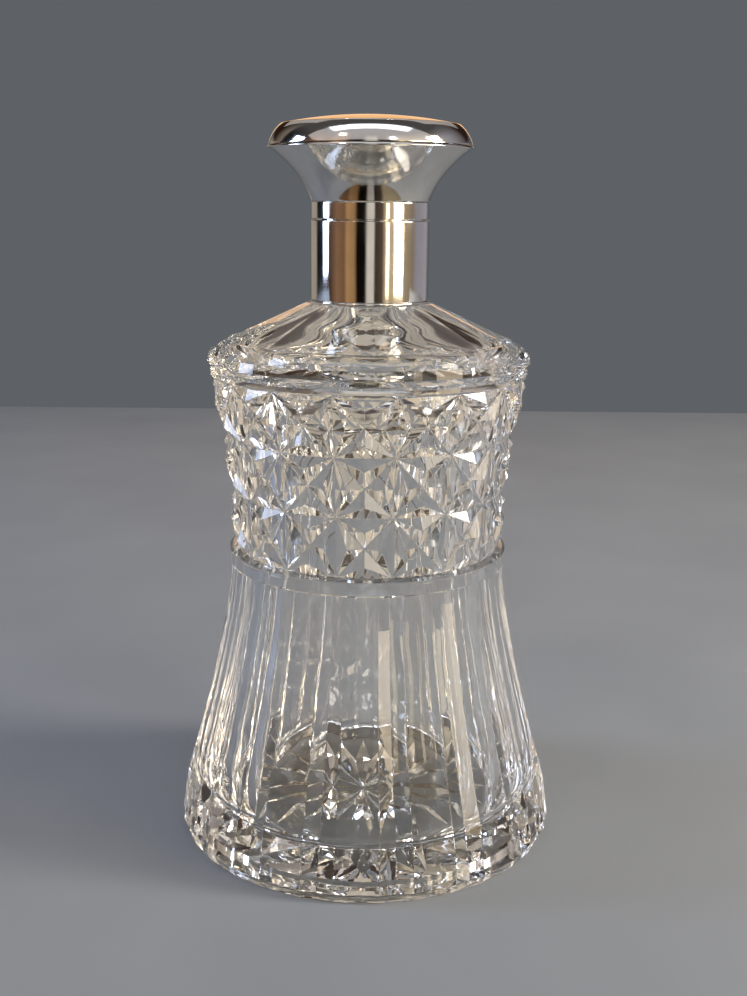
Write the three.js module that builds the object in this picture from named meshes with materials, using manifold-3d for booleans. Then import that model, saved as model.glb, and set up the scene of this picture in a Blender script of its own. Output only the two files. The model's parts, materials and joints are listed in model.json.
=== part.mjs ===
// Scent bottle of cut crystal, with a silver collar, a hinged silver lid and a ground glass stopper.
// Millimetres, +Z up. The origin is the centre of the foot, on the surface that the bottle stands on.
// Angles run from the front (-Y) towards the right (+X).
import * as THREE from 'three';
import { mergeVertices } from 'three/addons/utils/BufferGeometryUtils.js';
import Module from 'manifold-3d';

const wasm = await Module();
wasm.setup();

// ---------- driving dimensions ----------
const TOTAL_HEIGHT = 150;
const FIT_GAP = 0.15;              // solder, cement and ground joints

// The cutter marks the glass out in sixteen, and each row is set by eye, a little off the one below.
const DIVISIONS = 16;
const STEP = 2 * Math.PI / DIVISIONS;
const degrees = THREE.MathUtils.degToRad;
const SKIRT_TURN = degrees(-2);
const BAND_TURN = degrees(-1);
const SHOULDER_TURN = degrees(3);

// foot and fluted skirt
const FOOT_RADIUS = 39.9;
const WIDEST_RADIUS = 40.7;
const WIDEST_Z = 2;
const BEVEL_TOP = { radius: 39.4, z: 10.7 };
const SKIRT_TOP = { radius: 28.8, z: 59.2 };
const SKIRT_CURVE = { radius: 30.2, z: 41.2 };      // control point of the flare
const SKIRT_ROWS = 7;
const WIDE_PANEL_HALF = degrees(6.4);               // the rest of each sixteenth is a mitre groove
const GROOVE_SHARE = 0.028;                         // depth of the groove, as a share of the radius

// plain ring and diamond band
const RING_RADIUS = 29.3;
const BAND_BOTTOM = 62.5;
const BAND_TOP = 98.5;
const BAND_ROWS = 3;
const BAND_WAIST_RADIUS = 28.9;                     // tips of the diamonds, lowest row
const BAND_FLARE = 4.3;                             // growth of that radius up to the top
const CUT_DEPTH = 1.35;                             // of the mitre cuts between the diamonds
const TIP_INSET = 0.207;                            // centre of a cut triangle, as a share of its cell

// rim and shoulder
const RIM_RING = { radius: 32.7, low: 98.9, high: 99.8 };
const RIM_CUT = { radius: 31.9, z: 100.3 };
const RIM_RADIUS = 33.3;
const RIM_Z = 101.6;
const RIM_TOP = { radius: 32.9, z: 103.4 };
const PANELS_FOOT = { radius: 28.9, z: 105.8 };
const PANELS_LEDGE = 0.3;
const NECK_FOOT = { radius: 12.9, z: 113.2 };

// neck and inside
const NECK_RADIUS = 10.2;
const NECK_TOP = 128.6;
const BORE = { low: 4.9, high: 5.6, z: 113.5 };     // ground taper, from z to the top of the neck
const FLOOR_Z = 5.5;
const FLOOR_RADIUS = 27;

// star cut under the foot
const RECESS_RADIUS = 31;
const RECESS_DEPTH = 1;
const STAR_MIDDLE_RADIUS = 17;                      // where the rays are widest and deepest
const STAR_TIP_RADIUS = 28;
const STAR_DEPTH = 1.8;

// collar
const COLLAR_RADIUS = 12.1;
const COLLAR_WALL = 0.6;
const COLLAR_BOTTOM = 113.9;
const COLLAR_TOP = 129.6;
const BEAD_WIRE_RADIUS = 0.3;
const BEZEL_RADIUS = 11;
const BEZEL_WALL = 0.5;
const BEZEL_TOP = 131.9;

// lid
const SEAM_GAP = 0.3;
const LID_RADIUS = 12;
const LID_WALL = 0.7;
const LID_RING_TOP = 133.2;
const LIP = { radius: 20.6, z: 143.6 };
const LIP_EDGE = 0.4;
const TRUMPET_CURVE = { radius: 14.2, z: 139.4 };   // control point of the flare
const MOULDING_TOP = { radius: 17.8, z: 148.2 };
const PLATE_RADIUS = 17.1;
const PLATE_EDGE_Z = 148.3;
const PLATE_THICKNESS = 0.8;

// hinge, at the back
const HINGE_Y = 13.3;
const HINGE_Z = 129.75;
const KNUCKLE_RADIUS = 1;
const KNUCKLE_BORE = 0.5;
const PIN_RADIUS = 0.4;
const HINGE_HALF_WIDTH = 6;
const LID_KNUCKLE_HALF_WIDTH = 1.9;
const KNUCKLE_END_GAP = 0.2;
const KNUCKLE_FOOT_DROP = 2.4;                      // of the solder block below or above the axis

// stopper
const PLUG_BOTTOM = 114;
const WAIST = { radius: 3.8, z: 130.3 };
const KNOB = { radius: 6.2, low: 133.2, high: 134.4 };
const KNOB_TOP = { radius: 4.6, z: 136.8 };
const KNOB_FACETS = 12;

const ROUND = 48;                                   // sides of a turned surface
const SMALL_ROUND = 16;

// ---------- materials ----------
const crystal = () => new THREE.MeshStandardMaterial({ color: 0xe6ebea, roughness: 0.03, metalness: 0 });
const silver = () => new THREE.MeshStandardMaterial({ color: 0xc9c8c4, roughness: 0.12, metalness: 1 });
const plaster = () => new THREE.MeshStandardMaterial({ color: 0xd8d0c0, roughness: 0.9, metalness: 0 });

// ---------- geometry helpers ----------
// Keeps only position, joins shared vertices and drops the flat triangles on the axis of a lathe.
function welded(geometry) {
  const bare = geometry.clone();
  bare.deleteAttribute('normal');
  bare.deleteAttribute('uv');
  const merged = mergeVertices(bare, 1e-4);
  const corners = Array.from(merged.index.array);
  const kept = [];
  for (let i = 0; i < corners.length; i += 3) {
    const [a, b, c] = corners.slice(i, i + 3);
    if (a !== b && b !== c && c !== a) kept.push(a, b, c);
  }
  merged.setIndex(kept);
  return merged;
}

function toSolid(geometry) {
  const { attributes, index } = welded(geometry);
  return new wasm.Manifold(new wasm.Mesh({
    numProp: 3,
    vertProperties: new Float32Array(attributes.position.array),
    triVerts: new Uint32Array(index.array),
  }));
}

function toGeometry(solid) {
  const { vertProperties, triVerts } = solid.getMesh();
  const geometry = new THREE.BufferGeometry();
  geometry.setAttribute('position', new THREE.BufferAttribute(vertProperties, 3));
  geometry.setIndex(new THREE.BufferAttribute(triVerts, 1));
  return geometry;
}

const polar = (radius, angle, z) =>
  new THREE.Vector3(radius * Math.sin(angle), -radius * Math.cos(angle), z);

// Turns an outline of [radius, z] pairs, given anticlockwise in the radius-z plane, about the Z axis.
function turned(outline, sides = ROUND) {
  const points = outline.map(([radius, z]) => new THREE.Vector2(radius, z));
  return new THREE.LatheGeometry(points, sides).rotateX(Math.PI / 2);
}

// The same, but with its edges at the given angles, so that the panels between them can differ in width.
// scale gives each edge's distance from the axis, as a share of the outline's.
function panelled(outline, angles, scale = () => 1) {
  const points = outline.map(([radius, z]) => new THREE.Vector2(radius, z));
  const geometry = new THREE.LatheGeometry(points, angles.length);
  const position = geometry.attributes.position;
  for (let i = 0; i < position.count; i += 1) {
    const column = Math.floor(i / points.length) % angles.length;
    const [radius, z] = outline[i % points.length];
    const corner = polar(radius * scale(column), angles[column], z);
    position.setXYZ(i, corner.x, corner.y, corner.z);
  }
  return geometry;
}

// Points of a flare between two ends, bent towards a control point.
function flare(from, control, to, rows) {
  const vector = ({ radius, z }) => new THREE.Vector2(radius, z);
  const curve = new THREE.QuadraticBezierCurve(vector(from), vector(control), vector(to));
  return curve.getPoints(rows).map(({ x, y }) => [x, y]);
}

const closedRing = (outline) => [...outline, outline[0]];

function node(name, geometry, material) {
  const mesh = new THREE.Mesh(geometry, material);
  mesh.name = name;
  return mesh;
}

// ---------- glass ----------
const evenAngles = (turn) => Array.from({ length: DIVISIONS }, (_, k) => k * STEP + turn);

// Foot and skirt: sixteen wide flat panels, with a shallow mitre groove between each pair.
function skirt() {
  const angles = evenAngles(SKIRT_TURN).flatMap((middle) =>
    [middle - WIDE_PANEL_HALF, middle + WIDE_PANEL_HALF, middle + STEP / 2]);
  const outline = [
    [0, 0], [FOOT_RADIUS, 0], [WIDEST_RADIUS, WIDEST_Z],
    ...flare(BEVEL_TOP, SKIRT_CURVE, SKIRT_TOP, SKIRT_ROWS),
    [0, SKIRT_TOP.z],
  ];
  return toSolid(panelled(outline, angles, (column) => (column % 3 === 2 ? 1 - GROOVE_SHARE : 1)));
}

function bandRadius(z) {
  const share = (z - BAND_BOTTOM) / (BAND_TOP - BAND_BOTTOM);
  return BAND_WAIST_RADIUS + BAND_FLARE * share * share;
}

// Diamond band. Level, upright and diagonal mitre cuts leave four small pyramids in each cell.
function diamondBand() {
  const height = (BAND_TOP - BAND_BOTTOM) / BAND_ROWS;
  const cut = (angle, z) => polar(bandRadius(z) - CUT_DEPTH, angle, z);
  const tip = (angle, z) => polar(bandRadius(z), angle, z);
  const corners = [];
  const fan = (peak, around) => {
    for (let i = 0; i + 1 < around.length; i += 1) corners.push(peak, around[i], around[i + 1]);
  };
  for (const left of evenAngles(BAND_TURN - STEP / 2)) {
    const right = left + STEP;
    const middle = left + STEP / 2;
    for (let row = 0; row < BAND_ROWS; row += 1) {
      const low = BAND_BOTTOM + row * height;
      const high = low + height;
      const centre = cut(middle, low + height / 2);
      const lowEdge = [cut(left, low), cut(middle, low), cut(right, low)];
      const highEdge = [cut(right, high), cut(middle, high), cut(left, high)];
      fan(tip(middle, low + TIP_INSET * height), [...lowEdge, centre, lowEdge[0]]);
      fan(tip(middle, high - TIP_INSET * height), [...highEdge, centre, highEdge[0]]);
      fan(tip(right - TIP_INSET * STEP, low + height / 2), [lowEdge[2], highEdge[0], centre, lowEdge[2]]);
      fan(tip(left + TIP_INSET * STEP, low + height / 2), [highEdge[2], lowEdge[0], centre, highEdge[2]]);
    }
    fan(new THREE.Vector3(0, 0, BAND_BOTTOM), [right, middle, left].map((angle) => cut(angle, BAND_BOTTOM)));
    fan(new THREE.Vector3(0, 0, BAND_TOP), [left, middle, right].map((angle) => cut(angle, BAND_TOP)));
  }
  return toSolid(mergeVertices(new THREE.BufferGeometry().setFromPoints(corners)));
}

function plainRing() {
  const [low, high] = [SKIRT_TOP.z, BAND_BOTTOM];
  return toSolid(turned([[0, low], [RING_RADIUS, low], [RING_RADIUS, high - 0.4],
    [RING_RADIUS - 0.6, high], [0, high]]));
}

function rim() {
  const ledge = PANELS_FOOT.radius + PANELS_LEDGE;
  return toSolid(turned([
    [0, BAND_TOP], [RIM_RING.radius - 0.5, BAND_TOP],
    [RIM_RING.radius, RIM_RING.low], [RIM_RING.radius, RIM_RING.high],
    [RIM_CUT.radius, RIM_CUT.z], [RIM_RADIUS, RIM_Z], [RIM_TOP.radius, RIM_TOP.z],
    [ledge, PANELS_FOOT.z], [0, PANELS_FOOT.z],
  ]));
}

function shoulder() {
  return toSolid(panelled([
    [0, PANELS_FOOT.z], [PANELS_FOOT.radius, PANELS_FOOT.z],
    [NECK_FOOT.radius, NECK_FOOT.z], [0, NECK_FOOT.z],
  ], evenAngles(SHOULDER_TURN)));
}

function neck() {
  return toSolid(turned([
    [0, NECK_FOOT.z], [NECK_RADIUS, NECK_FOOT.z], [NECK_RADIUS, NECK_TOP - 0.6],
    [NECK_RADIUS - 0.6, NECK_TOP], [0, NECK_TOP],
  ]));
}

// The inside follows the outside at the wall thickness that the blank was blown to.
function inside() {
  const wall = new THREE.SplineCurve([
    new THREE.Vector2(FLOOR_RADIUS, FLOOR_Z), new THREE.Vector2(30.3, 8), new THREE.Vector2(30.6, 14),
    new THREE.Vector2(29.3, 21), new THREE.Vector2(26.4, 34), new THREE.Vector2(23.4, 50),
    new THREE.Vector2(22.4, 64), new THREE.Vector2(23.6, 80), new THREE.Vector2(25.2, 93),
    new THREE.Vector2(23, 99.5), new THREE.Vector2(14, 104.6), new THREE.Vector2(7, 109.2),
    new THREE.Vector2(BORE.low, BORE.z),
  ]);
  const outline = [
    [0, FLOOR_Z], ...wall.getPoints(18).map(({ x, y }) => [x, y]),
    [BORE.high, NECK_TOP], [BORE.high, NECK_TOP + 1], [0, NECK_TOP + 1],
  ];
  return toSolid(turned(outline, ROUND / 2));
}

// Star cut in a shallow recess under the foot. Each ray is a groove that is deepest at its middle.
function starCut() {
  const corners = [];
  const triangle = (...three) => corners.push(...three);
  const below = -1;
  const centre = new THREE.Vector3(0, 0, RECESS_DEPTH);
  for (const ray of evenAngles(0)) {
    const [before, after] = [ray - STEP / 2, ray + STEP / 2];
    const deepest = polar(STAR_MIDDLE_RADIUS, ray, RECESS_DEPTH + STAR_DEPTH);
    const tip = polar(STAR_TIP_RADIUS, ray, RECESS_DEPTH);
    const nextTip = polar(STAR_TIP_RADIUS, ray + STEP, RECESS_DEPTH);
    const [ridgeBefore, ridge] = [before, after].map((angle) =>
      polar(STAR_MIDDLE_RADIUS, angle, RECESS_DEPTH));
    const [edge, edgeAfter, nextEdge] = [ray, after, ray + STEP].map((angle) =>
      polar(RECESS_RADIUS, angle, RECESS_DEPTH));
    triangle(centre, ridgeBefore, deepest);
    triangle(centre, deepest, ridge);
    triangle(deepest, ridgeBefore, tip);
    triangle(deepest, tip, ridge);
    triangle(ridge, tip, nextTip);
    triangle(tip, edge, edgeAfter);
    triangle(tip, edgeAfter, nextTip);
    triangle(nextTip, edgeAfter, nextEdge);
    const [foot, footAfter, nextFoot] = [ray, after, ray + STEP].map((angle) =>
      polar(RECESS_RADIUS, angle, below));
    triangle(edge, foot, footAfter);
    triangle(edge, footAfter, edgeAfter);
    triangle(edgeAfter, footAfter, nextFoot);
    triangle(edgeAfter, nextFoot, nextEdge);
    triangle(new THREE.Vector3(0, 0, below), footAfter, foot);
    triangle(new THREE.Vector3(0, 0, below), nextFoot, footAfter);
  }
  return toSolid(mergeVertices(new THREE.BufferGeometry().setFromPoints(corners)));
}

function bottleBody() {
  const outside = [plainRing(), diamondBand(), rim(), shoulder(), neck()]
    .reduce((whole, piece) => whole.add(piece), skirt());
  return toGeometry(outside.subtract(inside()).subtract(starCut()));
}

function stopper() {
  const taper = (BORE.high - BORE.low) / (NECK_TOP - BORE.z);
  const plugRadius = (z) => BORE.low + taper * (z - BORE.z) - FIT_GAP;
  const chamfer = 0.5;
  return panelled([
    [0, PLUG_BOTTOM], [plugRadius(PLUG_BOTTOM) - chamfer, PLUG_BOTTOM],
    [plugRadius(PLUG_BOTTOM + chamfer), PLUG_BOTTOM + chamfer], [plugRadius(NECK_TOP), NECK_TOP],
    [WAIST.radius, WAIST.z], [KNOB.radius, KNOB.low], [KNOB.radius, KNOB.high],
    [KNOB_TOP.radius, KNOB_TOP.z], [0, KNOB_TOP.z],
  ], Array.from({ length: 2 * KNOB_FACETS }, (_, k) => k * Math.PI / KNOB_FACETS));
}

// ---------- collar ----------
function tube(outer, inner, low, high) {
  return closedRing([[inner, low], [outer, low], [outer, high], [inner, high]]);
}

function collarBead() {
  const middleRadius = COLLAR_RADIUS - BEAD_WIRE_RADIUS + FIT_GAP;
  const z = NECK_FOOT.z + FIT_GAP / 2 + BEAD_WIRE_RADIUS;
  const around = Array.from({ length: 8 }, (_, k) => k * Math.PI / 4 + Math.PI / 8);
  return turned(closedRing(around.map((angle) => [
    middleRadius + BEAD_WIRE_RADIUS * Math.cos(angle), z + BEAD_WIRE_RADIUS * Math.sin(angle),
  ])));
}

// ---------- hinge ----------
function alongX(geometry, x, y, z) {
  return geometry.rotateZ(Math.PI / 2).translate(x, y, z);
}

// Hinge tube with a solder block, cut to sit against a round wall. The block hangs down or stands up.
function knuckle(x, halfWidth, wallRadius, direction) {
  const width = 2 * halfWidth;
  const barrel = alongX(new THREE.CylinderGeometry(KNUCKLE_RADIUS, KNUCKLE_RADIUS, width, SMALL_ROUND),
    x, HINGE_Y, HINGE_Z);
  const bore = alongX(new THREE.CylinderGeometry(KNUCKLE_BORE, KNUCKLE_BORE, width + 2, SMALL_ROUND),
    x, HINGE_Y, HINGE_Z);
  const low = HINGE_Z + direction * 0.3;
  const high = HINGE_Z + direction * KNUCKLE_FOOT_DROP;
  const block = new THREE.BoxGeometry(width, HINGE_Y - 9 + 0.5, Math.abs(high - low))
    .translate(x, (HINGE_Y + 0.5 + 9) / 2, (low + high) / 2);
  const wall = new THREE.CylinderGeometry(wallRadius, wallRadius, 20, ROUND).rotateX(Math.PI / 2)
    .translate(0, 0, HINGE_Z);
  return toGeometry(toSolid(barrel).add(toSolid(block)).subtract(toSolid(wall)).subtract(toSolid(bore)));
}

function hingePin() {
  const length = 2 * HINGE_HALF_WIDTH;
  return alongX(new THREE.CylinderGeometry(PIN_RADIUS, PIN_RADIUS, length, SMALL_ROUND), 0, HINGE_Y, HINGE_Z);
}

// ---------- lid ----------
function lidTrumpet() {
  const foot = { radius: LID_RADIUS + 0.1, z: LID_RING_TOP + FIT_GAP };
  const inward = ({ radius, z }, drop) => ({ radius: radius - LID_WALL, z: z + drop });
  const outside = flare(foot, TRUMPET_CURVE, LIP, 7);
  const edgeTop = { radius: LIP.radius - 0.2, z: LIP.z + LIP_EDGE };
  const within = flare(inward(foot, 0), inward(TRUMPET_CURVE, 0.3), inward(edgeTop, 0), 5).reverse();
  return turned(closedRing([...outside, [edgeTop.radius, edgeTop.z], ...within]));
}

function lidMoulding() {
  const low = LIP.z + LIP_EDGE + FIT_GAP;
  const foot = { radius: LIP.radius - 0.2, z: low };
  const bulge = { radius: foot.radius - 0.3, z: MOULDING_TOP.z - 0.9 };
  const innerRadius = PLATE_RADIUS + FIT_GAP;
  return turned(closedRing([...flare(foot, bulge, MOULDING_TOP, 4), [innerRadius, MOULDING_TOP.z],
    [innerRadius, low + 1.2], [foot.radius - 1.5, low]]));
}

function lidPlate() {
  const rise = TOTAL_HEIGHT - PLATE_EDGE_Z;
  const dome = Array.from({ length: 5 }, (_, k) => {
    const radius = PLATE_RADIUS * (1 - k / 4);
    return [radius, TOTAL_HEIGHT - rise * (radius / PLATE_RADIUS) ** 2];
  });
  const under = dome.map(([radius, z]) => [radius, z - PLATE_THICKNESS]).reverse();
  return turned([...under, ...dome]);
}

// ---------- assembly ----------
const bottle = new THREE.Group();
bottle.add(node('bottle_body', bottleBody(), crystal()));

const cementGap = COLLAR_RADIUS - COLLAR_WALL - FIT_GAP;
const collar = new THREE.Group();
collar.add(
  node('neck_cement', turned(tube(cementGap, NECK_RADIUS + FIT_GAP, COLLAR_BOTTOM, NECK_TOP - 1)), plaster()),
  node('collar_foot_bead', collarBead(), silver()),
  node('collar_sleeve', turned(tube(COLLAR_RADIUS, COLLAR_RADIUS - COLLAR_WALL, COLLAR_BOTTOM, COLLAR_TOP)),
    silver()),
  node('collar_bezel', turned(tube(BEZEL_RADIUS, BEZEL_RADIUS - BEZEL_WALL, NECK_TOP + FIT_GAP, BEZEL_TOP)),
    silver()),
);

const hinge = new THREE.Group();
const sideInner = LID_KNUCKLE_HALF_WIDTH + KNUCKLE_END_GAP;
const sideHalf = (HINGE_HALF_WIDTH - sideInner) / 2;
for (const [side, x] of [['left', -sideInner - sideHalf], ['right', sideInner + sideHalf]]) {
  hinge.add(node(`collar_knuckle_${side}`, knuckle(x, sideHalf, COLLAR_RADIUS + FIT_GAP, -1), silver()));
}
hinge.add(node('hinge_pin', hingePin(), silver()));

const lid = new THREE.Group();
const lidBottom = COLLAR_TOP + SEAM_GAP;
lid.add(
  node('lid_knuckle', knuckle(0, LID_KNUCKLE_HALF_WIDTH, LID_RADIUS + FIT_GAP, 1), silver()),
  node('lid_ring', turned(tube(LID_RADIUS, LID_RADIUS - 0.6, lidBottom, LID_RING_TOP)), silver()),
  node('lid_trumpet', lidTrumpet(), silver()),
  node('lid_rim_moulding', lidMoulding(), silver()),
  node('lid_top_plate', lidPlate(), silver()),
);

bottle.add(collar, hinge, lid, node('stopper', stopper(), crystal()));

export default bottle;
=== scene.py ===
"""Looks of a cut-crystal scent bottle with a silver collar and a hinged lid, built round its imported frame."""

import json
import math

import bmesh
import bpy
from mathutils import Matrix, Vector


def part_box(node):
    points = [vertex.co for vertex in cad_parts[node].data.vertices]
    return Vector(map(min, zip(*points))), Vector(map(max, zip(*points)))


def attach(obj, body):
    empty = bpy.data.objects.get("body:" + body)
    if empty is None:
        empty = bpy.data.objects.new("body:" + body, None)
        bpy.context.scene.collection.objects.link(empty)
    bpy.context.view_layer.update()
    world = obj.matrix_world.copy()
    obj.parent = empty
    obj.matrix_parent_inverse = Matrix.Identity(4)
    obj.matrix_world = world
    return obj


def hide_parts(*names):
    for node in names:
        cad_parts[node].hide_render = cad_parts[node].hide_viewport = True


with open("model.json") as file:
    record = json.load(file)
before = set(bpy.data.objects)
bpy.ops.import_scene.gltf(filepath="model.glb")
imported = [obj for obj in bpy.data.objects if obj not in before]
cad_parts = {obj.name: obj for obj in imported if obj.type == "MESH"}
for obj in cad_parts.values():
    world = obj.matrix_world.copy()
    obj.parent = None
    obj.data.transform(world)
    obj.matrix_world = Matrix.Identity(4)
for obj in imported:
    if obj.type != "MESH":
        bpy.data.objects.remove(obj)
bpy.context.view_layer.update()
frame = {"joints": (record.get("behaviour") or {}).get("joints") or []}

MM = 0.001
rad = math.radians


# ---------- colour and nodes ----------
def linear(hex_colour, alpha=1.0):
    """An sRGB hex colour as the linear colour that a shader reads."""
    channels = [int(hex_colour[i:i + 2], 16) / 255 for i in (1, 3, 5)]
    return tuple(c / 12.92 if c <= 0.04045 else ((c + 0.055) / 1.055) ** 2.4 for c in channels) + (alpha,)


def add(tree, kind, inputs=None, **settings):
    """Adds a node. settings are its own fields. inputs are values for its sockets, or links to them."""
    node = tree.nodes.new(kind)
    for field, value in settings.items():
        setattr(node, field, value)
    for socket, value in (inputs or {}).items():
        if isinstance(value, bpy.types.NodeSocket):
            tree.links.new(value, node.inputs[socket])
        else:
            node.inputs[socket].default_value = value
    return node


def ramp(node, *stops):
    """Sets a Color Ramp's stops, each a place from 0 to 1 and a linear colour."""
    elements = node.color_ramp.elements
    while len(elements) < len(stops):
        elements.new(1)
    for element, (place, colour) in zip(elements, stops):
        element.position, element.color = place, colour
    return node


def grey(value):
    return (value, value, value, 1)


# ---------- materials ----------
def new_material(name):
    """An empty material, its node tree and the coordinates of the piece that it is on."""
    material = bpy.data.materials.new(name)
    material.use_nodes = True
    material.node_tree.nodes.clear()
    place = add(material.node_tree, "ShaderNodeTexCoord").outputs["Object"]
    return material, material.node_tree, place


def finish_material(tree, shader_inputs, bump=None):
    """Ends a material in one Principled shader, with its own values on its own sockets."""
    if bump:
        shader_inputs = {**shader_inputs, "Normal": bump.outputs["Normal"]}
    shader = add(tree, "ShaderNodeBsdfPrincipled", shader_inputs)
    add(tree, "ShaderNodeOutputMaterial", {"Surface": shader.outputs["BSDF"]})


def per_mm(size):
    """The Scale that gives a noise features of this size in millimetres."""
    return 1 / (size * MM)


CRYSTAL_IOR = 1.545


def lead_crystal_cut():
    """Lead crystal, wheel-cut and acid-polished: brilliant flat facets, with the faint ripple of the acid."""
    material, tree, place = new_material("lead crystal cut and polished")
    ripple = add(tree, "ShaderNodeTexNoise", {"Vector": place, "Scale": per_mm(5)})
    bump = add(tree, "ShaderNodeBump", {"Height": ripple.outputs["Fac"], "Strength": 0.06,
                                        "Distance": 0.3 * MM})
    finish_material(tree, {"Base Color": linear("#fcfdfc"), "Roughness": 0.0, "IOR": CRYSTAL_IOR,
                           "Transmission Weight": 1.0}, bump)
    return material


def lead_crystal_blown():
    """The same crystal as blown: fire-polished inside, with slow waves that bend what is seen through."""
    material, tree, place = new_material("lead crystal blown inside")
    wave = add(tree, "ShaderNodeTexNoise", {"Vector": place, "Scale": per_mm(14), "Detail": 1})
    bump = add(tree, "ShaderNodeBump", {"Height": wave.outputs["Fac"], "Strength": 0.25,
                                        "Distance": 1.2 * MM})
    finish_material(tree, {"Base Color": linear("#fcfdfc"), "Roughness": 0.0, "IOR": CRYSTAL_IOR,
                           "Transmission Weight": 1.0}, bump)
    return material


def ground_crystal():
    """Crystal ground with emery to seal in the neck: grey and frosted. Real grains are about 0.1 mm, and they
    are drawn at 0.25 mm so that they show."""
    material, tree, place = new_material("lead crystal ground")
    grain = add(tree, "ShaderNodeTexNoise", {"Vector": place, "Scale": per_mm(0.25), "Detail": 3})
    bump = add(tree, "ShaderNodeBump", {"Height": grain.outputs["Fac"], "Strength": 0.4,
                                        "Distance": 0.05 * MM})
    finish_material(tree, {"Base Color": linear("#f4f5f3"), "Roughness": 0.45, "IOR": CRYSTAL_IOR,
                           "Transmission Weight": 0.9}, bump)
    return material


def sterling_silver():
    """Sterling silver, hand-polished: bright and warm-white, with a rubbed haze, fine scratches and dents."""
    material, tree, place = new_material("sterling silver polished")
    haze = add(tree, "ShaderNodeTexNoise", {"Vector": place, "Scale": per_mm(6), "Detail": 4,
                                            "Roughness": 0.6})
    roughness = add(tree, "ShaderNodeMapRange", {"Value": haze.outputs["Fac"], "From Min": 0.3,
                                                 "From Max": 0.75, "To Min": 0.045, "To Max": 0.13})
    tone = ramp(add(tree, "ShaderNodeValToRGB", {"Fac": haze.outputs["Fac"]}),
                (0.3, linear("#e9e8e4")), (0.75, linear("#dddbd5")))
    # Rubbing marks run round the piece. Real ones are 0.02 mm apart, and they are drawn at 0.15 mm so that
    # they show.
    marks_across, marks_along = 0.15, 2.7
    stretch = add(tree, "ShaderNodeMapping", {"Vector": place, "Scale": (1, 1, marks_along / marks_across)})
    marks = add(tree, "ShaderNodeTexNoise", {"Vector": stretch.outputs["Vector"],
                                             "Scale": per_mm(marks_along), "Detail": 3})
    dents = add(tree, "ShaderNodeTexNoise", {"Vector": place, "Scale": per_mm(9), "Detail": 1})
    fine = add(tree, "ShaderNodeBump", {"Height": marks.outputs["Fac"], "Strength": 0.05,
                                        "Distance": 0.03 * MM})
    bump = add(tree, "ShaderNodeBump", {"Height": dents.outputs["Fac"], "Strength": 0.1,
                                        "Distance": 0.3 * MM, "Normal": fine.outputs["Normal"]})
    finish_material(tree, {"Base Color": tone.outputs["Color"], "Metallic": 1.0,
                           "Roughness": roughness.outputs["Result"]}, bump)
    return material


def plaster_cement():
    """Plaster cement: chalky, with open grains of about half a millimetre."""
    material, tree, place = new_material("plaster cement")
    grain = add(tree, "ShaderNodeTexNoise", {"Vector": place, "Scale": per_mm(0.5), "Detail": 4})
    tone = ramp(add(tree, "ShaderNodeValToRGB", {"Fac": grain.outputs["Fac"]}),
                (0.3, linear("#bdb29c")), (0.7, linear("#ddd5c5")))
    bump = add(tree, "ShaderNodeBump", {"Height": grain.outputs["Fac"], "Strength": 0.5,
                                        "Distance": 0.2 * MM})
    finish_material(tree, {"Base Color": tone.outputs["Color"], "Roughness": 0.9}, bump)
    return material


def painted_table():
    """Table top in smooth matt grey paint, with the fine dust-like grain that a roller leaves."""
    material, tree, place = new_material("table paint matt")
    grain = add(tree, "ShaderNodeTexNoise", {"Vector": place, "Scale": per_mm(0.8), "Detail": 3})
    cloud = add(tree, "ShaderNodeTexNoise", {"Vector": place, "Scale": per_mm(60)})
    tone = ramp(add(tree, "ShaderNodeValToRGB", {"Fac": cloud.outputs["Fac"]}),
                (0.3, linear("#8a9096")), (0.7, linear("#90969c")))
    bump = add(tree, "ShaderNodeBump", {"Height": grain.outputs["Fac"], "Strength": 0.12,
                                        "Distance": 0.1 * MM})
    finish_material(tree, {"Base Color": tone.outputs["Color"], "Roughness": 0.85,
                           "Specular IOR Level": 0.25}, bump)
    return material


# ---------- sizes, in metres, from the frame ----------
body_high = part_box("bottle_body")[1]
collar_low, collar_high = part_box("collar_sleeve")
bead_low, bead_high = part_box("collar_foot_bead")
bezel_low, bezel_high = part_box("collar_bezel")
ring_low, ring_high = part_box("lid_ring")
trumpet_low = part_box("lid_trumpet")[0]
moulding_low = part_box("lid_rim_moulding")[0]
plate_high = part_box("lid_top_plate")[1]
stopper_low, stopper_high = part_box("stopper")
hinge_axis = Vector(frame["joints"][0]["pos_m"])

DIVISIONS = 16                 # the cutter marks the glass out in sixteen
STEP = 2 * math.pi / DIVISIONS
SKIRT_TURN, BAND_TURN, SHOULDER_TURN = rad(-2), rad(-1), rad(3)
WIDE_PANEL_HALF, GROOVE_SHARE, GROOVE_AT_FOOT = rad(6.4), 0.028, 0.3
ROUND = 192                    # sides of a turned piece
ON_AXIS = 1e-9                 # a smaller radius counts as none


# ---------- mesh helpers ----------
def polar(radius, angle, z):
    """A point at a distance from the axis, at an angle from the front towards the right."""
    return Vector((radius * math.sin(angle), -radius * math.cos(angle), z))


def flare(start, control, end, rows):
    """Points on a curve between two (radius, z) ends, bent towards a control point."""
    curve = []
    for k in range(rows + 1):
        t = k / rows
        curve.append(tuple((1 - t) ** 2 * a + 2 * t * (1 - t) * b + t * t * c
                           for a, b, c in zip(start, control, end)))
    return curve


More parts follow.
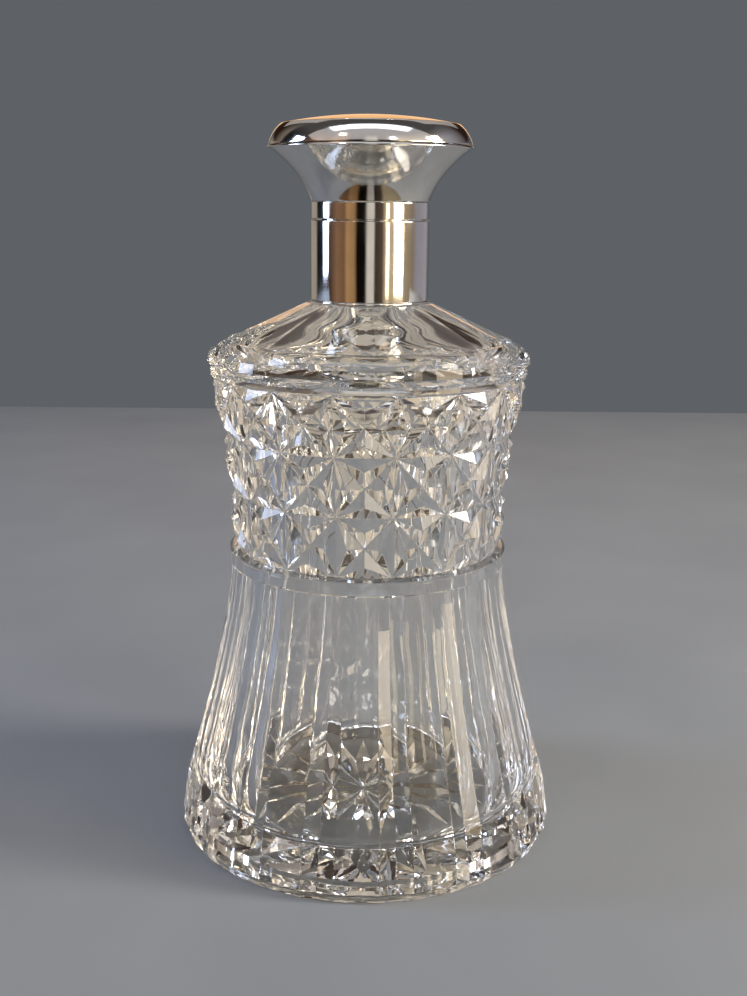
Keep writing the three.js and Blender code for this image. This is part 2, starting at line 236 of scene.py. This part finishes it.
def softened(outline, radius, steps=4, least_turn=rad(20)):
    """Rounds the corners of a closed outline, as polishing does, and leaves its gentle curves alone."""
    points = [Vector(p) for p in outline]
    result = []
    for i, corner in enumerate(points):
        back, on = points[i - 1] - corner, points[(i + 1) % len(points)] - corner
        turn = math.pi - back.angle(on)
        if corner.x < ON_AXIS or turn < least_turn:
            result.append(tuple(corner))
            continue
        reach = min(radius, 0.45 * back.length, 0.45 * on.length)
        a, b = corner + back.normalized() * reach, corner + on.normalized() * reach
        result += flare(tuple(a), tuple(corner), tuple(b), steps)
    return result


def new_object(name, mesh):
    piece = bpy.data.objects.new(name, mesh)
    bpy.context.scene.collection.objects.link(piece)
    return piece


def facing_out(mesh):
    """Joins points that coincide and turns every face outwards."""
    shape = bmesh.new()
    shape.from_mesh(mesh)
    bmesh.ops.remove_doubles(shape, verts=shape.verts, dist=2e-7)
    bmesh.ops.recalc_face_normals(shape, faces=shape.faces)
    if shape.calc_volume(signed=True) < 0:
        bmesh.ops.reverse_faces(shape, faces=shape.faces)
    shape.to_mesh(mesh)
    shape.free()
    return mesh


def mesh_from(name, points, faces):
    mesh = bpy.data.meshes.new(name)
    mesh.from_pydata(points, [], faces)
    return mesh


def shaded(piece, crease=30):
    """Shades a piece smoothly, except across edges that turn more than the crease angle in degrees."""
    mesh = piece.data
    mesh.polygons.foreach_set("use_smooth", [True] * len(mesh.polygons))
    mesh.set_sharp_from_angle(angle=rad(crease))
    return piece


def turned(name, outline, material, sides=ROUND):
    """A closed solid turned about the axis from an outline of (radius, z) points."""
    angles = [k * 2 * math.pi / sides for k in range(sides)]
    closed = outline[0][0] > ON_AXIS
    rows = len(outline)
    points = [polar(radius, angle, z) for angle in angles for radius, z in outline]
    faces = []
    for column in range(len(angles)):
        here, there = column * rows, (column + 1) % len(angles) * rows
        for row in range(rows if closed else rows - 1):
            after = (row + 1) % rows
            corners = [here + row, there + row, there + after, here + after]
            if outline[row][0] < ON_AXIS:
                corners.pop(1)
            elif outline[after][0] < ON_AXIS:
                corners.pop(2)
            faces.append(corners)
    used = sorted({corner for face in faces for corner in face})
    order = {corner: k for k, corner in enumerate(used)}
    mesh = mesh_from(name, [points[corner] for corner in used],
                     [[order[corner] for corner in face] for face in faces])
    mesh.materials.append(material)
    return shaded(new_object(name, facing_out(mesh)))


def baked(piece):
    """Turns a piece's live modifiers into a plain mesh."""
    evaluated = piece.evaluated_get(bpy.context.evaluated_depsgraph_get())
    mesh = bpy.data.meshes.new_from_object(evaluated)
    piece.modifiers.clear()
    piece.data = mesh
    return piece


def combined(base, others, operation):
    """Joins others to base, or cuts them out of it, and removes them."""
    for other in others:
        cut = base.modifiers.new("cut", "BOOLEAN")
        cut.operation, cut.solver, cut.object, cut.material_mode = operation, "MANIFOLD", other, "TRANSFER"
        baked(base)
        bpy.data.objects.remove(other)
    return base


# ---------- what repeats round the axis ----------
def repeat_tree():
    """Sets copies of one sector evenly round the axis and joins them into one mesh."""
    tree = bpy.data.node_groups.new("copies round the axis", "GeometryNodeTree")
    for name, kind in [("Sector", "NodeSocketGeometry"), ("Copies", "NodeSocketInt"),
                       ("Turn", "NodeSocketFloat"), ("Material", "NodeSocketMaterial")]:
        tree.interface.new_socket(name, in_out="INPUT", socket_type=kind)
    tree.interface.new_socket("Ring", in_out="OUTPUT", socket_type="NodeSocketGeometry")
    given = add(tree, "NodeGroupInput").outputs
    index = add(tree, "GeometryNodeInputIndex")
    share = add(tree, "ShaderNodeMath", {0: index.outputs[0], 1: given["Copies"]}, operation="DIVIDE")
    angle = add(tree, "ShaderNodeMath", {0: share.outputs[0], 1: 2 * math.pi, 2: given["Turn"]},
                operation="MULTIPLY_ADD")
    turn = add(tree, "FunctionNodeAxisAngleToRotation", {"Axis": (0, 0, 1), "Angle": angle.outputs[0]})
    centres = add(tree, "GeometryNodePoints", {"Count": given["Copies"]})
    copies = add(tree, "GeometryNodeInstanceOnPoints", {"Points": centres.outputs[0],
                                                        "Instance": given["Sector"],
                                                        "Rotation": turn.outputs[0]})
    real = add(tree, "GeometryNodeRealizeInstances", {"Geometry": copies.outputs[0]})
    joined = add(tree, "GeometryNodeMergeByDistance", {"Geometry": real.outputs[0], "Distance": 1e-6})
    finished = add(tree, "GeometryNodeSetMaterial", {"Geometry": joined.outputs[0],
                                                     "Material": given["Material"]})
    add(tree, "NodeGroupOutput", {"Ring": finished.outputs[0]})
    return tree


def repeated(name, points, faces, turn, material):
    """Copies one sector, given as points and faces, all the way round."""
    sector = new_object(name, mesh_from(name, points, faces))
    sector.data.materials.append(material)
    modifier = sector.modifiers.new("copies", "NODES")
    modifier.node_group = REPEAT
    sockets = {item.name: item.identifier for item in REPEAT.interface.items_tree if item.in_out == "INPUT"}
    modifier[sockets["Copies"]] = DIVISIONS
    modifier[sockets["Turn"]] = turn
    modifier[sockets["Material"]] = material
    baked(sector)
    facing_out(sector.data)
    return sector


REPEAT = repeat_tree()
CUT, BLOWN, GROUND = lead_crystal_cut(), lead_crystal_blown(), ground_crystal()
SILVER, PLASTER = sterling_silver(), plaster_cement()


def cut_share(z):
    """How much of its full depth a groove has at a height: it runs out towards the foot."""
    up_the_bevel = min(1, max(0, (z - WIDEST[1]) / (BEVEL_TOP[1] - WIDEST[1])))
    return GROOVE_AT_FOOT + (1 - GROOVE_AT_FOOT) * up_the_bevel


def wall_sector(outline, edges):
    """One sector of a panelled solid, from an outline that is on the axis at both ends. edges gives each
    upright edge's angle, and how far it is cut in, as a share of the radius."""
    points, faces, angles = [], [], list(edges)
    for angle, depth in edges.items():
        points += [polar(radius * (1 - depth * cut_share(z)), angle, z) for radius, z in outline]
    rows = len(outline)
    for column in range(len(angles) - 1):
        for row in range(rows - 1):
            here, there = column * rows + row, (column + 1) * rows + row
            corners = [here, there, there + 1, here + 1]
            if outline[row][0] < ON_AXIS:
                corners.pop(1)
            elif outline[row + 1][0] < ON_AXIS:
                corners.pop(2)
            faces.append(corners)
    return points, faces


def polished_edges(piece, width):
    """Rounds the edges between cuts, as the last polishing does."""
    soften = piece.modifiers.new("polished", "BEVEL")
    soften.width, soften.segments, soften.limit_method, soften.angle_limit = width, 2, "ANGLE", rad(6)
    return baked(piece)


# ---------- crystal body ----------
FOOT_RADIUS, WIDEST, BEVEL_TOP = 39.9 * MM, (40.7 * MM, 2 * MM), (39.4 * MM, 10.7 * MM)
SKIRT_TOP, SKIRT_CURVE = (28.8 * MM, 59.2 * MM), (30.2 * MM, 41.2 * MM)
RING_RADIUS = 29.3 * MM
BAND_BOTTOM, BAND_TOP, BAND_ROWS = 62.5 * MM, 98.5 * MM, 3
BAND_WAIST, BAND_FLARE, CUT_DEPTH, TIP_INSET = 28.9 * MM, 4.3 * MM, 1.35 * MM, 0.207
RIM = [(32.2, 98.5), (32.7, 98.9), (32.7, 99.8), (31.9, 100.3), (33.3, 101.6), (32.9, 103.4), (29.2, 105.8)]
PANELS_FOOT, NECK_FOOT = (28.9 * MM, 105.8 * MM), (12.9 * MM, 113.2 * MM)
NECK_RADIUS, NECK_TOP = 10.2 * MM, body_high.z
BORE_LOW, BORE_HIGH, BORE_Z = 4.9 * MM, 5.6 * MM, 113.5 * MM
WALL = [(27, 5.5), (30.3, 8), (30.6, 14), (29.3, 21), (26.4, 34), (23.4, 50), (22.4, 64), (23.6, 80),
        (25.2, 93), (23, 99.5), (14, 104.6), (7, 109.2), (4.9, 113.5)]
RECESS_RADIUS, RECESS_DEPTH = 31 * MM, 1 * MM
STAR_MIDDLE, STAR_TIP, STAR_DEPTH = 17 * MM, 28 * MM, 1.8 * MM
PANEL_POLISH, DIAMOND_POLISH = 0.14 * MM, 0.1 * MM
LIP_CHAMFER = 0.6 * MM


def skirt():
    """Flared foot with wide panels, and a mitre groove between each pair."""
    outline = [(0, 0), (FOOT_RADIUS, 0), WIDEST, *flare(BEVEL_TOP, SKIRT_CURVE, SKIRT_TOP, 24),
               (0, SKIRT_TOP[1])]
    edges = {-WIDE_PANEL_HALF: 0, WIDE_PANEL_HALF: 0, STEP / 2: GROOVE_SHARE, STEP - WIDE_PANEL_HALF: 0}
    piece = repeated("skirt", *wall_sector(outline, edges), SKIRT_TURN, CUT)
    return polished_edges(piece, PANEL_POLISH)


def shoulder():
    outline = [(0, PANELS_FOOT[1]), PANELS_FOOT, NECK_FOOT, (0, NECK_FOOT[1])]
    piece = repeated("shoulder", *wall_sector(outline, {0: 0, STEP: 0}), SHOULDER_TURN, CUT)
    return polished_edges(piece, PANEL_POLISH)


def band_radius(z):
    share = (z - BAND_BOTTOM) / (BAND_TOP - BAND_BOTTOM)
    return BAND_WAIST + BAND_FLARE * share * share


def diamond_band():
    """Level, upright and diagonal mitre cuts, which leave four small pyramids in each cell."""
    height = (BAND_TOP - BAND_BOTTOM) / BAND_ROWS
    left, middle, right = -STEP / 2, 0, STEP / 2
    points, faces = [], []

    def fan(peak, around):
        start = len(points)
        points.extend([peak, *around])
        faces.extend([start, start + i + 1, start + i + 2] for i in range(len(around) - 1))

    def cut(angle, z):
        return polar(band_radius(z) - CUT_DEPTH, angle, z)

    def tip(angle, z):
        return polar(band_radius(z), angle, z)

    for row in range(BAND_ROWS):
        low = BAND_BOTTOM + row * height
        high, centre = low + height, cut(middle, low + height / 2)
        low_edge = [cut(left, low), cut(middle, low), cut(right, low)]
        high_edge = [cut(right, high), cut(middle, high), cut(left, high)]
        inset, across = TIP_INSET * height, TIP_INSET * STEP
        fan(tip(middle, low + inset), [*low_edge, centre, low_edge[0]])
        fan(tip(middle, high - inset), [*high_edge, centre, high_edge[0]])
        fan(tip(right - across, low + height / 2), [low_edge[2], high_edge[0], centre, low_edge[2]])
        fan(tip(left + across, low + height / 2), [high_edge[2], low_edge[0], centre, high_edge[2]])
    fan(Vector((0, 0, BAND_BOTTOM)), [cut(angle, BAND_BOTTOM) for angle in (right, middle, left)])
    fan(Vector((0, 0, BAND_TOP)), [cut(angle, BAND_TOP) for angle in (left, middle, right)])
    return polished_edges(repeated("band", points, faces, BAND_TURN, CUT), DIAMOND_POLISH)


def star_cutter():
    """The shape of the recess and the star under the foot. Each ray is widest and deepest at its middle."""
    below = -2 * MM
    centre, base = Vector((0, 0, RECESS_DEPTH)), Vector((0, 0, below))
    deepest = polar(STAR_MIDDLE, 0, RECESS_DEPTH + STAR_DEPTH)
    tip = polar(STAR_TIP, 0, RECESS_DEPTH)
    left_ridge, right_ridge = (polar(STAR_MIDDLE, a, RECESS_DEPTH) for a in (-STEP / 2, STEP / 2))
    left_tip, right_tip = (polar(STAR_TIP, a, RECESS_DEPTH) for a in (-STEP / 2, STEP / 2))
    arc = [-STEP / 2 + STEP * k / 8 for k in range(9)]
    edge = [polar(RECESS_RADIUS, a, RECESS_DEPTH) for a in arc]
    foot = [polar(RECESS_RADIUS, a, below) for a in arc]
    points = [centre, left_ridge, deepest, right_ridge, tip, base, left_tip, right_tip, *edge, *foot]
    faces = [(0, 1, 2), (0, 2, 3), (2, 1, 4), (2, 4, 3), (1, 6, 4), (3, 4, 7)]
    first, second = 8, 17
    for k in range(8):
        outer = [first + k, first + k + 1]
        faces += [(4, *outer), (second + k, second + k + 1, first + k + 1, first + k),
                  (5, second + k + 1, second + k)]
    faces += [(6, first, 4), (4, first + 8, 7)]
    return repeated("star", points, faces, 0, CUT)


def smooth_curve(points, steps):
    """A curve through all the given (radius, z) points."""
    ends = [points[0], *points, points[-1]]
    curve = []
    for p0, p1, p2, p3 in zip(ends, ends[1:], ends[2:], ends[3:]):
        for k in range(steps):
            t = k / steps
            curve.append(tuple(0.5 * (2 * b + (c - a) * t + (2 * a - 5 * b + 4 * c - d) * t ** 2
                                      + (3 * b - a - 3 * c + d) * t ** 3)
                               for a, b, c, d in zip(p0, p1, p2, p3)))
    return [*curve, points[-1]]


def crystal_body():
    """Solid of stacked cuts, less the hollow inside and the star under the foot."""
    ring = turned("ring", [(0, SKIRT_TOP[1]), (RING_RADIUS, SKIRT_TOP[1]),
                           (RING_RADIUS, BAND_BOTTOM - 0.4 * MM), (RING_RADIUS - 0.6 * MM, BAND_BOTTOM),
                           (0, BAND_BOTTOM)], CUT)
    rim_outline = [(radius * MM, z * MM) for radius, z in RIM]
    rim = turned("rim", [(0, rim_outline[0][1]), *rim_outline, (0, rim_outline[-1][1])], CUT)
    neck = turned("neck", [(0, NECK_FOOT[1]), (NECK_RADIUS, NECK_FOOT[1]),
                           (NECK_RADIUS, NECK_TOP - LIP_CHAMFER), (NECK_RADIUS - LIP_CHAMFER, NECK_TOP),
                           (0, NECK_TOP)], CUT)
    wall = smooth_curve([(radius * MM, z * MM) for radius, z in WALL], 10)
    above = NECK_TOP + 1 * MM
    inside = turned("inside", [(0, wall[0][1]), *wall, (BORE_HIGH, NECK_TOP), (BORE_HIGH, above),
                               (0, above)], BLOWN)
    body = combined(skirt(), [ring, diamond_band(), rim, shoulder(), neck], "UNION")
    body = combined(body, [inside, star_cutter()], "DIFFERENCE")
    body.name = body.data.name = "crystal_body"
    return shaded(body, crease=4.5)


def place(piece, body, slot, *nodes):
    """Puts a finished piece on its body, in place of the frame's own nodes."""
    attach(piece, body)
    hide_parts(*nodes)


# ---------- stopper ----------
FIT_GAP = 0.15 * MM
KNOB_FACETS = 12


def stopper():
    """Ground plug with a facetted knob, in one piece."""
    taper = (BORE_HIGH - BORE_LOW) / (NECK_TOP - BORE_Z)
    bottom, chamfer = stopper_low.z, 0.5 * MM
    waist, knob_low, knob_high = (3.8 * MM, 130.3 * MM), (6.2 * MM, 133.2 * MM), (6.2 * MM, 134.4 * MM)
    knob_top, top = 4.6 * MM, stopper_high.z

    def plug_radius(z):
        return BORE_LOW + taper * (z - BORE_Z) - FIT_GAP

    plug = [(plug_radius(bottom) - chamfer, bottom), (plug_radius(bottom + chamfer), bottom + chamfer),
            (plug_radius(NECK_TOP), NECK_TOP), waist]
    plug = turned("plug", [(0, bottom), *plug, (0, waist[1])], GROUND)
    inset, sunk = waist[0] * 0.9, waist[1] - 0.4 * MM
    knob = turned("knob", [(0, sunk), (inset, sunk), waist, knob_low, knob_high, (knob_top, top), (0, top)],
                  CUT, sides=2 * KNOB_FACETS)
    piece = combined(plug, [knob], "UNION")
    piece.name = piece.data.name = "stopper_fine"
    return shaded(piece, crease=10)


# ---------- silver and cement ----------
COLLAR_RADIUS, COLLAR_INSIDE = 12.1 * MM, 11.5 * MM
BEZEL_RADIUS, BEZEL_INSIDE = 11 * MM, 10.5 * MM
LID_RING_RADIUS, LID_RING_INSIDE = 12 * MM, 11.4 * MM
CEMENT_RADIUS, CEMENT_INSIDE, CEMENT_LOW, CEMENT_HIGH = 11.35 * MM, 10.35 * MM, 113.9 * MM, 127.6 * MM
EDGE_POLISH = 0.15 * MM        # radius of a silver edge worn by polishing
THIN_POLISH = 0.12 * MM        # the same on thinner metal


def tube(outer, inner, low, high):
    return [(inner, low), (outer, low), (outer, high), (inner, high)]


def collar_bead():
    """Fine wire soldered round the bottom of the collar."""
    wire = (bead_high.z - bead_low.z) / 2
    middle, z = bead_high.x - wire, (bead_low.z + bead_high.z) / 2
    sides = 16
    around = [rad(360 * k / sides) for k in range(sides)]
    outline = [(middle + wire * math.cos(a), z + wire * math.sin(a)) for a in around]
    return turned("collar_bead_fine", outline, SILVER)


def collar_sleeve():
    outline = softened(tube(COLLAR_RADIUS, COLLAR_INSIDE, collar_low.z, collar_high.z), EDGE_POLISH)
    return turned("collar_sleeve_fine", outline, SILVER)


def collar_bezel():
    outline = softened(tube(BEZEL_RADIUS, BEZEL_INSIDE, bezel_low.z, bezel_high.z), THIN_POLISH)
    return turned("collar_bezel_fine", outline, SILVER)


def lid_ring():
    outline = softened(tube(LID_RING_RADIUS, LID_RING_INSIDE, ring_low.z, ring_high.z), EDGE_POLISH)
    return turned("lid_ring_fine", outline, SILVER)


LID_WALL, LIP, LIP_EDGE, LIP_INSET = 0.7 * MM, (20.6 * MM, 143.6 * MM), 0.4 * MM, 0.2 * MM
TRUMPET_CURVE, TRUMPET_ROWS = (14.2 * MM, 139.4 * MM), 28


def lid_trumpet():
    """Flared wall of the lid, hollow, with a thin lip."""
    foot = (COLLAR_RADIUS, trumpet_low.z)
    edge = (LIP[0] - LIP_INSET, LIP[1] + LIP_EDGE)
    outside = flare(foot, TRUMPET_CURVE, LIP, TRUMPET_ROWS)
    inner_curve = (TRUMPET_CURVE[0] - LID_WALL, TRUMPET_CURVE[1] + 0.3 * MM)
    inside = flare((edge[0] - LID_WALL, edge[1]), inner_curve, (foot[0] - LID_WALL, foot[1]),
                   TRUMPET_ROWS)
    return turned("lid_trumpet_fine", softened([*outside, edge, *inside], THIN_POLISH), SILVER)


def lid_moulding():
    """Rounded moulding that stands on the lip and runs round the top plate."""
    low, top = moulding_low.z, (17.8 * MM, 148.2 * MM)
    foot, inner, sole, step = (LIP[0] - LIP_INSET, low), 17.25 * MM, 1.5 * MM, 1.2 * MM
    bulge = (foot[0] - 0.7 * MM, top[1] - 1.5 * MM)
    outline = [*flare(foot, bulge, top, 16), (inner, top[1]), (inner, low + step), (foot[0] - sole, low)]
    return turned("lid_moulding_fine", softened(outline, THIN_POLISH), SILVER)


def lid_plate():
    """Slightly domed plate with a softened rim."""
    radius, edge, top, thickness, rows = 17.1 * MM, 148.3 * MM, plate_high.z, 0.8 * MM, 24
    dome = [(radius * (1 - k / rows), top - (top - edge) * (1 - k / rows) ** 2) for k in range(rows + 1)]
    under = [(r, z - thickness) for r, z in reversed(dome)]
    outline = softened([*under, *dome], THIN_POLISH)
    return turned("lid_plate_fine", outline, SILVER)


def neck_cement():
    rubbed = 0.1 * MM
    outline = softened(tube(CEMENT_RADIUS, CEMENT_INSIDE, CEMENT_LOW, CEMENT_HIGH), rubbed)
    return turned("neck_cement_fine", outline, PLASTER)


def along_x(piece, x, y, z):
    """Lays a piece that was turned about Z along X instead."""
    piece.data.transform(Matrix.Translation((x, y, z)) @ Matrix.Rotation(math.pi / 2, 4, "Y"))
    return piece


# ---------- hinge ----------
KNUCKLE_RADIUS, KNUCKLE_BORE, PIN_RADIUS, PIN_HALF = 1 * MM, 0.5 * MM, 0.4 * MM, 6 * MM
COLLAR_SOLDER, LID_SOLDER = 12.25 * MM, 12.15 * MM          # radius where a solder block meets the wall
BLOCK_NEAR, BLOCK_FAR, BLOCK_DEEP, BLOCK_PAST = 0.3 * MM, 2.4 * MM, 9 * MM, 0.5 * MM


def rod(name, radius, half, soft, x=0.0, sides=64):
    """A round bar on the hinge's axis."""
    outline = softened([(0, -half), (radius, -half), (radius, half), (0, half)], soft)
    return along_x(turned(name, outline, SILVER, sides), x, hinge_axis.y, hinge_axis.z)


def knuckle(name, node, wall_radius, direction):
    """Hinge tube with a solder block that sits against a round wall and hangs down or stands up."""
    low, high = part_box(node)
    half, x = (high.x - low.x) / 2, (high.x + low.x) / 2
    near, far = hinge_axis.z + direction * BLOCK_NEAR, hinge_axis.z + direction * BLOCK_FAR
    depth = (BLOCK_DEEP, hinge_axis.y + BLOCK_PAST)
    block = [(x + sx * half, y, z) for sx in (-1, 1) for y in depth for z in (near, far)]
    faces = [(0, 1, 3, 2), (4, 6, 7, 5), (0, 4, 5, 1), (2, 3, 7, 6), (0, 2, 6, 4), (1, 5, 7, 3)]
    mesh = mesh_from(name, block, faces)
    mesh.materials.append(SILVER)
    foot = new_object(name + "_block", facing_out(mesh))
    soften = foot.modifiers.new("soften", "BEVEL")
    soften.width, soften.segments = 0.25 * MM, 4
    baked(foot)
    below, above = hinge_axis.z - 10 * MM, hinge_axis.z + 10 * MM
    wall = turned("wall", [(0, below), (wall_radius, below), (wall_radius, above), (0, above)], SILVER)
    bore = rod("bore", KNUCKLE_BORE, half + 1 * MM, 0, x)
    piece = combined(rod(name, KNUCKLE_RADIUS, half, THIN_POLISH, x), [foot], "UNION")
    return shaded(combined(piece, [wall, bore], "DIFFERENCE"))


place(crystal_body(), "bottle", "crystal", "bottle_body")
place(stopper(), "stopper", "crystal", "stopper")
place(neck_cement(), "bottle", "cement", "neck_cement")
place(collar_bead(), "bottle", "silver", "collar_foot_bead")
place(collar_sleeve(), "bottle", "silver", "collar_sleeve")
place(collar_bezel(), "bottle", "silver", "collar_bezel")
place(rod("hinge_pin_fine", PIN_RADIUS, PIN_HALF, 0.1 * MM), "bottle", "silver", "hinge_pin")
for node in ("collar_knuckle_left", "collar_knuckle_right"):
    place(knuckle(f"{node}_fine", node, COLLAR_SOLDER, -1), "bottle", "silver", node)
place(knuckle("lid_knuckle_fine", "lid_knuckle", LID_SOLDER, 1), "lid", "silver", "lid_knuckle")
place(lid_ring(), "lid", "silver", "lid_ring")
place(lid_trumpet(), "lid", "silver", "lid_trumpet")
place(lid_moulding(), "lid", "silver", "lid_rim_moulding")
place(lid_plate(), "lid", "silver", "lid_top_plate")


# ---------- studio ----------
def table():
    """Table top with large rounded corners, which ends a little way behind the bottle. The part in front is
    a separate piece that mirrors and glass don't show, as if the bottle stood near the front edge."""
    side, front, edge, back, corner, steps = 0.8, -0.6, -0.082, 0.54, 0.35, 16
    arc = [math.pi / 2 * k / steps for k in range(steps + 1)]
    inner, far, near = side - corner, back - corner, front + corner
    behind = [(side, edge), *((inner + corner * math.cos(a), far + corner * math.sin(a)) for a in arc),
              *((-inner - corner * math.sin(a), far + corner * math.cos(a)) for a in arc), (-side, edge)]
    ahead = [(-side, edge), *((-inner - corner * math.cos(a), near - corner * math.sin(a)) for a in arc),
             *((inner + corner * math.sin(a), near - corner * math.cos(a)) for a in arc), (side, edge)]
    paint = painted_table()
    for name, rim in [("table_top", behind), ("table_front", ahead)]:
        mesh = bpy.data.meshes.new(name)
        mesh.from_pydata([(x, y, -0.02 * MM) for x, y in rim], [], [list(range(len(rim)))])
        mesh.materials.append(paint)
        piece = new_object(name, mesh)
    piece.visible_glossy = piece.visible_transmission = False


def softbox(name, azimuth, elevation, distance, size, colour, radiance):
    """A soft oblong light that faces the collar. size is its width and height in degrees of view."""
    width, height = (2 * distance * math.tan(rad(angle) / 2) for angle in size)
    light = bpy.data.lights.new(name, "AREA")
    light.shape, light.size, light.size_y = "RECTANGLE", width, height
    light.color, light.energy = linear(colour)[:3], radiance * math.pi * width * height
    lamp = new_object(name, light)
    aim = Vector((0, 0, collar_low.z))
    out = polar(math.cos(rad(elevation)), rad(azimuth), math.sin(rad(elevation)))
    facing = out.to_track_quat("Z", "Y").to_matrix().to_4x4()
    lamp.matrix_world = Matrix.Translation(aim + out * distance) @ facing
    lamp.visible_camera = False
    return lamp


def room():
    """What stands round the table, by compass direction: upright bands, warm and cool, pale and dark."""
    world = bpy.data.worlds.new("room")
    bpy.context.scene.world = world
    world.use_nodes = True
    tree = world.node_tree
    tree.nodes.clear()
    wall, gloom, cream = "#5e6266", "#100c0a", "#c4b090"
    bands = [(-180, wall), (-160, wall), (-150, "#a59a8e"), (-126, "#a59a8e"), (-120, "#17191b"),
             (-104, "#17191b"), (-82, "#4a3428"), (-66, "#8a6850"), (-50, "#7a5a44"), (-44, "#b08a5e"),
             (-30, "#a07b55"), (-24, gloom), (-9, gloom), (-4, "#d8d0c6"), (7, "#d8d0c6"), (10, "#3a302a"),
             (24, "#5a4c42"), (30, cream), (44, cream), (90, "#8a7a68"), (100, "#94909a"),
             (136, "#a49ea6"), (150, wall), (180, wall)]
    place = add(tree, "ShaderNodeTexCoord")
    axes = add(tree, "ShaderNodeSeparateXYZ", {"Vector": place.outputs["Generated"]})
    front = add(tree, "ShaderNodeMath", {0: axes.outputs["Y"], 1: -1.0}, operation="MULTIPLY")
    compass = add(tree, "ShaderNodeMath", {0: axes.outputs["X"], 1: front.outputs[0]}, operation="ARCTAN2")
    share = add(tree, "ShaderNodeMapRange", {"Value": compass.outputs[0], "From Min": -math.pi,
                                             "From Max": math.pi})
    around = ramp(add(tree, "ShaderNodeValToRGB", {"Fac": share.outputs["Result"]}),
                  *[((degrees + 180) / 360, linear(colour)) for degrees, colour in bands])
    depth = add(tree, "ShaderNodeMapRange", {"Value": axes.outputs["Z"], "From Min": -0.75,
                                             "From Max": -0.2, "To Min": 0.45, "To Max": 1.0})
    shaded_floor = add(tree, "ShaderNodeVectorMath", {0: around.outputs["Color"],
                                                      "Scale": depth.outputs["Result"]}, operation="SCALE")
    height = add(tree, "ShaderNodeMapRange", {"Value": axes.outputs["Z"], "From Min": 0.5,
                                              "From Max": 0.75})
    ceiling = add(tree, "ShaderNodeMix", {"Factor": height.outputs["Result"]}, data_type="RGBA")
    # A dark shelf behind the bottle starts a little above eye level.
    behind = ramp(add(tree, "ShaderNodeValToRGB", {"Fac": share.outputs["Result"]}), (0, grey(1)),
                  (0.1, grey(1)), (0.2, grey(0)), (0.8, grey(0)), (0.9, grey(1)), (1, grey(1)))
    above = add(tree, "ShaderNodeMapRange", {"Value": axes.outputs["Z"], "From Min": 0.16,
                                             "From Max": 0.24})
    shelf = add(tree, "ShaderNodeMath", {0: behind.outputs["Color"], 1: above.outputs["Result"]},
                operation="MULTIPLY")
    # What is seen through the crystal is paler and warmer, as cream cards set close round a bottle make it.
    ray = add(tree, "ShaderNodeLightPath")
    card_share = add(tree, "ShaderNodeMath", {0: ray.outputs["Is Transmission Ray"], 1: 0.45},
                     operation="MULTIPLY")
    cards = add(tree, "ShaderNodeMix", {"Factor": card_share.outputs[0]}, data_type="RGBA")
    tree.links.new(shaded_floor.outputs[0], cards.inputs[6])
    cards.inputs[7].default_value = linear("#f6e2c8")
    wall_and_shelf = add(tree, "ShaderNodeMix", {"Factor": shelf.outputs[0]}, data_type="RGBA")
    tree.links.new(cards.outputs[2], wall_and_shelf.inputs[6])
    wall_and_shelf.inputs[7].default_value = linear("#2a1d16")
    tree.links.new(wall_and_shelf.outputs[2], ceiling.inputs[6])
    ceiling.inputs[7].default_value = linear("#4c4a4a")
    plain = add(tree, "ShaderNodeMix", {"Factor": ray.outputs["Is Camera Ray"]}, data_type="RGBA")
    tree.links.new(ceiling.outputs[2], plain.inputs[6])
    plain.inputs[7].default_value = linear(wall)
    light = add(tree, "ShaderNodeBackground", {"Color": plain.outputs[2], "Strength": 1.0})
    add(tree, "ShaderNodeOutputWorld", {"Surface": light.outputs["Background"]})


def camera():
    lens_mm, sensor_mm, pitch, roll = 45, 36, rad(13.6), rad(0.53)
    data = bpy.data.cameras.new("camera")
    data.lens, data.sensor_width = lens_mm, sensor_mm
    eye = new_object("camera", data)
    position = (1.2 * MM, -257.6 * MM, 134.2 * MM)
    eye.matrix_world = (Matrix.Translation(position)
                        @ Matrix.Rotation(math.pi / 2 - pitch, 4, "X") @ Matrix.Rotation(roll, 4, "Z"))
    data.clip_start, data.clip_end = 0.01, 20
    bpy.context.scene.camera = eye


table()
room()
camera()
softbox("key window", 82, 24, 0.9, (14, 28), "#fff4e8", 22)
softbox("cream window", 57, 10, 0.9, (20, 40), "#ffe9c8", 6)
softbox("cream window side pane", 34, 6, 0.9, (6, 34), "#ffe2b4", 3)
softbox("cool window", -93, 14, 0.9, (14, 38), "#cfdfff", 9)
softbox("ceiling softbox", 0, 76, 0.8, (60, 16), "#eaf0ff", 2.0)
softbox("warm shelf behind", 180, 16, 0.52, (30, 18), "#ffc488", 1.0).visible_transmission = False
softbox("pale ceiling", 0, 60, 0.9, (110, 46), "#e8e2e4", 0.5).visible_diffuse = False
ceiling_behind = softbox("pale ceiling behind", 180, 50, 0.9, (60, 40), "#efe4e0", 0.42)
ceiling_behind.visible_diffuse = ceiling_behind.visible_transmission = False
over_table = softbox("light over the far table", 180, 62, 0.9, (40, 24), "#f2f4ff", 1.2)
over_table.visible_glossy = over_table.visible_transmission = False
softbox("left ceiling lamp", -38, 48, 0.9, (4, 4), "#fff0dc", 30)
softbox("right ceiling lamp", 28, 40, 0.9, (4, 4), "#ffffff", 30)

scene = bpy.context.scene
scene.view_settings.view_transform = "Standard"
scene.cycles.max_bounces = 32
scene.cycles.transmission_bounces = 32
scene.cycles.glossy_bounces = 16
